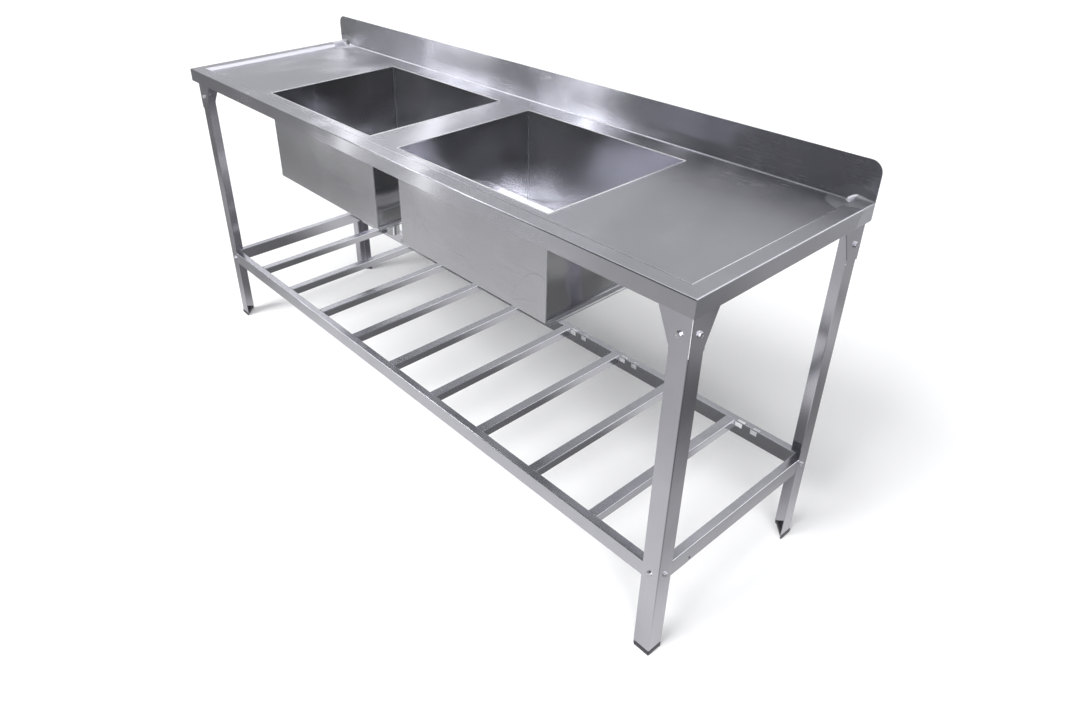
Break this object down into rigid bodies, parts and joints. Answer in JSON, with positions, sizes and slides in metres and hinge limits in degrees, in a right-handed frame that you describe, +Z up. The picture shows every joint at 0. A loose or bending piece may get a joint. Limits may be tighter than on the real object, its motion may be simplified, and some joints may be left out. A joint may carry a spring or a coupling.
{
  "type": "two compartment sink table",
  "caption": "Free-standing stainless steel commercial sink table with deep bowls between drainboards, a rear splash, angle legs in shoes and a slatted undershelf rack.",
  "frame": {"origin": "on the floor under the middle of the worktop", "axes": "+Z up, +X along the worktop to the user's right, +Y to the rear splash"},
  "size_m": [1.9014, 0.5464, 0.936],
  "materials": {
    "stainless_top": "brushed stainless sheet with a soft sheen",
    "stainless_bowl": "bright stainless sheet with faint circular scratches",
    "stainless_leg": "bright rolled stainless sheet",
    "stainless_frame": "bright rolled stainless sheet",
    "stainless_drain": "polished pressed stainless",
    "zinc_fastener": "bright zinc",
    "plated_fitting": "nickel-plated brass",
    "rubber_seal": "matt black rubber",
    "foot_plastic": "moulded black plastic"
  },
  "bodies": {
    "sink_table": {"bracket_bolts": "zinc_fastener", "bracket_nuts": "zinc_fastener", "foot_front_left": "foot_plastic", "foot_front_right": "foot_plastic", "foot_rear_left": "foot_plastic", "foot_rear_right": "foot_plastic", "left_bowl": "stainless_bowl", "left_bowl_left_side": "stainless_bowl", "left_bowl_right_side": "stainless_bowl", "left_coupling_nut": "plated_fitting", "left_deck_stiffener": "stainless_frame", "left_strainer_body": "stainless_drain", "left_strainer_gasket": "rubber_seal", "left_strainer_locknut": "plated_fitting", "left_tail_washer": "rubber_seal", "left_tailpiece": "plated_fitting", "leg_bracket_front_left": "stainless_leg", "leg_bracket_front_right": "stainless_leg", "leg_bracket_rear_left": "stainless_leg", "leg_bracket_rear_right": "stainless_leg", "leg_front_left": "stainless_leg", "leg_front_right": "stainless_leg", "leg_rear_left": "stainless_leg", "leg_rear_right": "stainless_leg", "right_bowl": "stainless_bowl", "right_bowl_left_side": "stainless_bowl", "right_bowl_right_side": "stainless_bowl", "right_coupling_nut": "plated_fitting", "right_deck_stiffener": "stainless_frame", "right_strainer_body": "stainless_drain", "right_strainer_gasket": "rubber_seal", "right_strainer_locknut": "plated_fitting", "right_tail_washer": "rubber_seal", "right_tailpiece": "plated_fitting", "shelf_bolts": "zinc_fastener", "shelf_front_rail": "stainless_frame", "shelf_left_rail": "stainless_frame", "shelf_nuts": "zinc_fastener", "shelf_rear_rail": "stainless_frame", "shelf_right_rail": "stainless_frame", "shelf_slat_1": "stainless_frame", "shelf_slat_2": "stainless_frame", "shelf_slat_3": "stainless_frame", "shelf_slat_4": "stainless_frame", "shelf_slat_5": "stainless_frame", "shelf_slat_6": "stainless_frame", "shelf_slat_7": "stainless_frame", "shelf_slat_8": "stainless_frame", "shelf_slat_9": "stainless_frame", "worktop": "stainless_top"},
    "left_basket": {"left_strainer_basket": "stainless_drain", "left_basket_stopper": "rubber_seal"},
    "right_basket": {"right_strainer_basket": "stainless_drain", "right_basket_stopper": "rubber_seal"}
  },
  "joints": [
    {"name": "left_basket_lift", "type": "slide", "parent": "sink_table", "child": "left_basket", "axis": [0, 0, 1], "range_m": [0, 0.06]},
    {"name": "right_basket_lift", "type": "slide", "parent": "sink_table", "child": "right_basket", "axis": [0, 0, 1], "range_m": [0, 0.06]}
  ]
}
